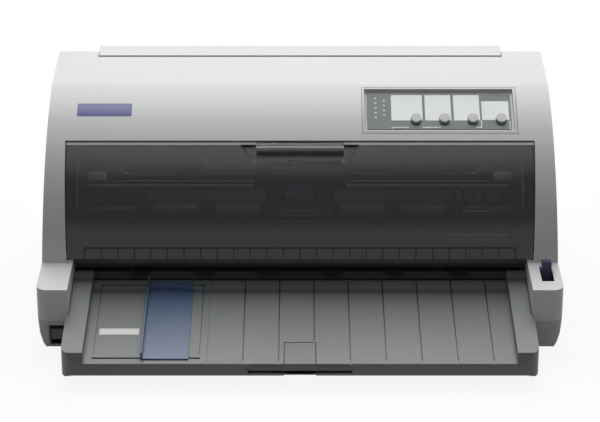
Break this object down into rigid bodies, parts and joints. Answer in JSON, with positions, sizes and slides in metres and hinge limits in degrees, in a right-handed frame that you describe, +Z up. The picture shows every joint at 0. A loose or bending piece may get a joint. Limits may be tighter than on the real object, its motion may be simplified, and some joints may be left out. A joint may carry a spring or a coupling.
{
  "type": "dot matrix printer",
  "caption": "Flatbed dot matrix printer with a hinged smoke cover, folding front tray, sliding edge guide, rear lid, control panel and a working print and feed mechanism",
  "frame": {"origin": "centre of the footprint's bounding box, on the table under the feet", "axes": "+X to the right as seen from the front, +Y to the rear, +Z up"},
  "size_m": [0.48, 0.37, 0.2031],
  "materials": {
    "lower_case": "fine grain, dark warm grey",
    "upper_case": "fine grain, light grey",
    "rubber_feet": "matt black",
    "chassis_screws": "zinc plated",
    "printer_cover": "smoke-coloured clear plastic",
    "cover_plate": "bare plate",
    "rear_cover": "fine grain, light grey",
    "front_tray": "fine grain, dark grey",
    "edge_guide": "satin blue",
    "scale_label": "white print on dark",
    "tray_latch": "fine grain, dark grey",
    "panel_bezel": "dark grey-green",
    "panel_label": "printed film",
    "panel_board": "green laminate",
    "status_lamps": "clear coloured lamps",
    "button_1": "light grey",
    "button_2": "light grey",
    "button_3": "light grey",
    "button_4": "light grey",
    "badge_plate": "bare blue plate",
    "switch_body": "black",
    "power_rocker": "black",
    "release_lever": "dark blue",
    "base_chassis": "galvanised sheet",
    "side_frame_left": "galvanised sheet",
    "side_frame_right": "galvanised sheet",
    "top_brace": "galvanised sheet",
    "front_paper_guide": "black coated sheet",
    "rear_paper_guide": "black coated sheet",
    "front_rail": "black coated sheet",
    "platen": "black ground rubber on steel journals",
    "platen_gear": "natural acetal",
    "front_feed_roller": "rubber on a steel shaft",
    "rear_feed_roller": "rubber on a steel shaft",
    "front_pinch_roller": "dark plastic on a steel shaft",
    "rear_pinch_roller": "dark plastic on a steel shaft",
    "front_idler_gear": "natural acetal",
    "rear_idler_gear": "natural acetal",
    "drive_idler_gear": "natural acetal",
    "tractor_idler_gear": "natural acetal",
    "feed_motor": "plated can",
    "motor_pinion": "brass",
    "carriage_shaft": "ground and polished",
    "carriage": "black",
    "print_head": "cast, with fins",
    "ribbon_cartridge": "black",
    "ribbon": "inked woven ribbon",
    "carriage_belt": "black",
    "carriage_motor": "plated can",
    "motor_pulley": "brass",
    "idler_pulley": "natural acetal",
    "head_cable": "white flat cable",
    "main_board": "green laminate",
    "power_supply": "galvanised cage",
    "rear_connectors": "plated shells",
    "ac_inlet": "black",
    "tractor_shaft": "steel with a plastic gear",
    "tractor_rod": "ground",
    "tractor_left": "black",
    "tractor_right": "black"
  },
  "bodies": {
    "housing": {"lower_case": "lower_case", "upper_case": "upper_case", "rubber_feet": "rubber_feet", "chassis_screws": "chassis_screws", "panel_bezel": "panel_bezel", "panel_label": "panel_label", "panel_board": "panel_board", "status_lamps": "status_lamps", "badge_plate": "badge_plate", "switch_body": "switch_body", "base_chassis": "base_chassis", "side_frame_left": "side_frame_left", "side_frame_right": "side_frame_right", "top_brace": "top_brace", "front_paper_guide": "front_paper_guide", "rear_paper_guide": "rear_paper_guide", "front_rail": "front_rail", "feed_motor": "feed_motor", "carriage_shaft": "carriage_shaft", "carriage_belt": "carriage_belt", "carriage_motor": "carriage_motor", "head_cable": "head_cable", "main_board": "main_board", "power_supply": "power_supply", "rear_connectors": "rear_connectors", "ac_inlet": "ac_inlet", "tractor_rod": "tractor_rod"},
    "smoke_cover": {"printer_cover": "printer_cover", "cover_plate": "cover_plate"},
    "rear_lid": {"rear_cover": "rear_cover"},
    "tray": {"front_tray": "front_tray", "scale_label": "scale_label"},
    "guide": {"edge_guide": "edge_guide"},
    "latch": {"tray_latch": "tray_latch"},
    "button_a": {"button_1": "button_1"},
    "button_b": {"button_2": "button_2"},
    "button_c": {"button_3": "button_3"},
    "button_d": {"button_4": "button_4"},
    "rocker": {"power_rocker": "power_rocker"},
    "lever": {"release_lever": "release_lever"},
    "platen_roll": {"platen": "platen", "platen_gear": "platen_gear"},
    "front_feed": {"front_feed_roller": "front_feed_roller"},
    "rear_feed": {"rear_feed_roller": "rear_feed_roller"},
    "front_pinch": {"front_pinch_roller": "front_pinch_roller"},
    "rear_pinch": {"rear_pinch_roller": "rear_pinch_roller"},
    "front_idler": {"front_idler_gear": "front_idler_gear"},
    "rear_idler": {"rear_idler_gear": "rear_idler_gear"},
    "drive_idler": {"drive_idler_gear": "drive_idler_gear"},
    "tractor_idler": {"tractor_idler_gear": "tractor_idler_gear"},
    "pinion": {"motor_pinion": "motor_pinion"},
    "tractor_drive": {"tractor_shaft": "tractor_shaft"},
    "head_carriage": {"carriage": "carriage", "print_head": "print_head", "ribbon_cartridge": "ribbon_cartridge", "ribbon": "ribbon"},
    "drive_pulley": {"motor_pulley": "motor_pulley"},
    "return_pulley": {"idler_pulley": "idler_pulley"},
    "tractor_a": {"tractor_left": "tractor_left"},
    "tractor_b": {"tractor_right": "tractor_right"}
  },
  "joints": [
    {"name": "cover_hinge", "type": "hinge", "parent": "housing", "child": "smoke_cover", "pos_m": [0, -0.05, 0.073], "axis": [1, 0, 0], "range_deg": [0, 70]},
    {"name": "rear_lid_hinge", "type": "hinge", "parent": "housing", "child": "rear_lid", "pos_m": [0, 0.136, 0.1945], "axis": [1, 0, 0], "range_deg": [0, 75]},
    {"name": "tray_hinge", "type": "hinge", "parent": "housing", "child": "tray", "pos_m": [0, -0.049, 0.041], "axis": [1, 0, 0], "range_deg": [-30, 0]},
    {"name": "guide_slide", "type": "slide", "parent": "tray", "child": "guide", "axis": [1, 0, 0], "range_m": [-0.041, 0.008]},
    {"name": "latch_flex", "type": "hinge", "parent": "tray", "child": "latch", "pos_m": [0, -0.149, 0.024], "axis": [1, 0, 0], "range_deg": [0, 3], "stiffness_Nm_per_rad": 1.2},
    {"name": "button_1_press", "type": "slide", "parent": "housing", "child": "button_a", "axis": [0, 0.472, -0.8816], "range_m": [0, 0.0008], "stiffness_N_per_m": 600},
    {"name": "button_2_press", "type": "slide", "parent": "housing", "child": "button_b", "axis": [0, 0.472, -0.8816], "range_m": [0, 0.0008], "stiffness_N_per_m": 600},
    {"name": "button_3_press", "type": "slide", "parent": "housing", "child": "button_c", "axis": [0, 0.472, -0.8816], "range_m": [0, 0.0008], "stiffness_N_per_m": 600},
    {"name": "button_4_press", "type": "slide", "parent": "housing", "child": "button_d", "axis": [0, 0.472, -0.8816], "range_m": [0, 0.0008], "stiffness_N_per_m": 600},
    {"name": "rocker_tilt", "type": "hinge", "parent": "housing", "child": "rocker", "pos_m": [0, -0.111, 0.0175], "axis": [1, 0, 0], "range_deg": [-6, 6]},
    {"name": "lever_turn", "type": "hinge", "parent": "housing", "child": "lever", "pos_m": [0, -0.085, 0.038], "axis": [1, 0, 0], "range_deg": [0, 24]},
    {"name": "platen_spin", "type": "hinge", "parent": "housing", "child": "platen_roll", "pos_m": [0, 0.009, 0.044], "axis": [1, 0, 0], "continuous": true},
    {"name": "front_feed_spin", "type": "hinge", "parent": "housing", "child": "front_feed", "pos_m": [0, -0.0265, 0.034], "axis": [1, 0, 0], "continuous": true},
    {"name": "rear_feed_spin", "type": "hinge", "parent": "housing", "child": "rear_feed", "pos_m": [0, 0.053, 0.052], "axis": [1, 0, 0], "continuous": true},
    {"name": "front_pinch_spin", "type": "hinge", "parent": "housing", "child": "front_pinch", "pos_m": [0, -0.0265, 0.0514], "axis": [1, 0, 0], "continuous": true},
    {"name": "rear_pinch_spin", "type": "hinge", "parent": "housing", "child": "rear_pinch", "pos_m": [0, 0.053, 0.0694], "axis": [1, 0, 0], "continuous": true},
    {"name": "front_idler_spin", "type": "hinge", "parent": "housing", "child": "front_idler", "pos_m": [0, -0.01365, 0.0214], "axis": [1, 0, 0], "continuous": true},
    {"name": "rear_idler_spin", "type": "hinge", "parent": "housing", "child": "rear_idler", "pos_m": [0, 0.03558, 0.06182], "axis": [1, 0, 0], "continuous": true},
    {"name": "drive_idler_spin", "type": "hinge", "parent": "housing", "child": "drive_idler", "pos_m": [0, 0.08284, 0.05507], "axis": [1, 0, 0], "continuous": true},
    {"name": "tractor_idler_spin", "type": "hinge", "parent": "housing", "child": "tractor_idler", "pos_m": [0, 0.10568, 0.08791], "axis": [1, 0, 0], "continuous": true},
    {"name": "pinion_spin", "type": "hinge", "parent": "housing", "child": "pinion", "pos_m": [0, 0.096, 0.035], "axis": [1, 0, 0], "continuous": true},
    {"name": "tractor_spin", "type": "hinge", "parent": "housing", "child": "tractor_drive", "pos_m": [0, 0.139, 0.104], "axis": [1, 0, 0], "continuous": true},
    {"name": "carriage_slide", "type": "slide", "parent": "housing", "child": "head_carriage", "axis": [1, 0, 0], "range_m": [-0.135, 0.135], "deforming": ["head_cable"]},
    {"name": "drive_pulley_spin", "type": "hinge", "parent": "housing", "child": "drive_pulley", "pos_m": [-0.18, 0.081, 0.095], "axis": [0, 0, 1], "continuous": true},
    {"name": "return_pulley_spin", "type": "hinge", "parent": "housing", "child": "return_pulley", "pos_m": [0.18, 0.081, 0.095], "axis": [0, 0, 1], "continuous": true},
    {"name": "tractor_left_slide", "type": "slide", "parent": "housing", "child": "tractor_a", "axis": [1, 0, 0], "range_m": [-0.04, 0.06]},
    {"name": "tractor_right_slide", "type": "slide", "parent": "housing", "child": "tractor_b", "axis": [1, 0, 0], "range_m": [-0.06, 0.04]}
  ],
  "couplings": [
    {"joint": "front_feed_spin", "follows": "platen_spin", "ratio": 2.4},
    {"joint": "rear_feed_spin", "follows": "platen_spin", "ratio": 2},
    {"joint": "front_pinch_spin", "follows": "platen_spin", "ratio": -2.7},
    {"joint": "rear_pinch_spin", "follows": "platen_spin", "ratio": -2.25},
    {"joint": "front_idler_spin", "follows": "platen_spin", "ratio": -3},
    {"joint": "rear_idler_spin", "follows": "platen_spin", "ratio": -3},
    {"joint": "drive_idler_spin", "follows": "platen_spin", "ratio": -1.3333},
    {"joint": "pinion_spin", "follows": "platen_spin", "ratio": 4},
    {"joint": "tractor_idler_spin", "follows": "platen_spin", "ratio": 1.0909},
    {"joint": "tractor_spin", "follows": "platen_spin", "ratio": -1.6},
    {"joint": "drive_pulley_spin", "follows": "carriage_slide", "rad_per_m": 112.36},
    {"joint": "return_pulley_spin", "follows": "carriage_slide", "rad_per_m": 112.36}
  ]
}
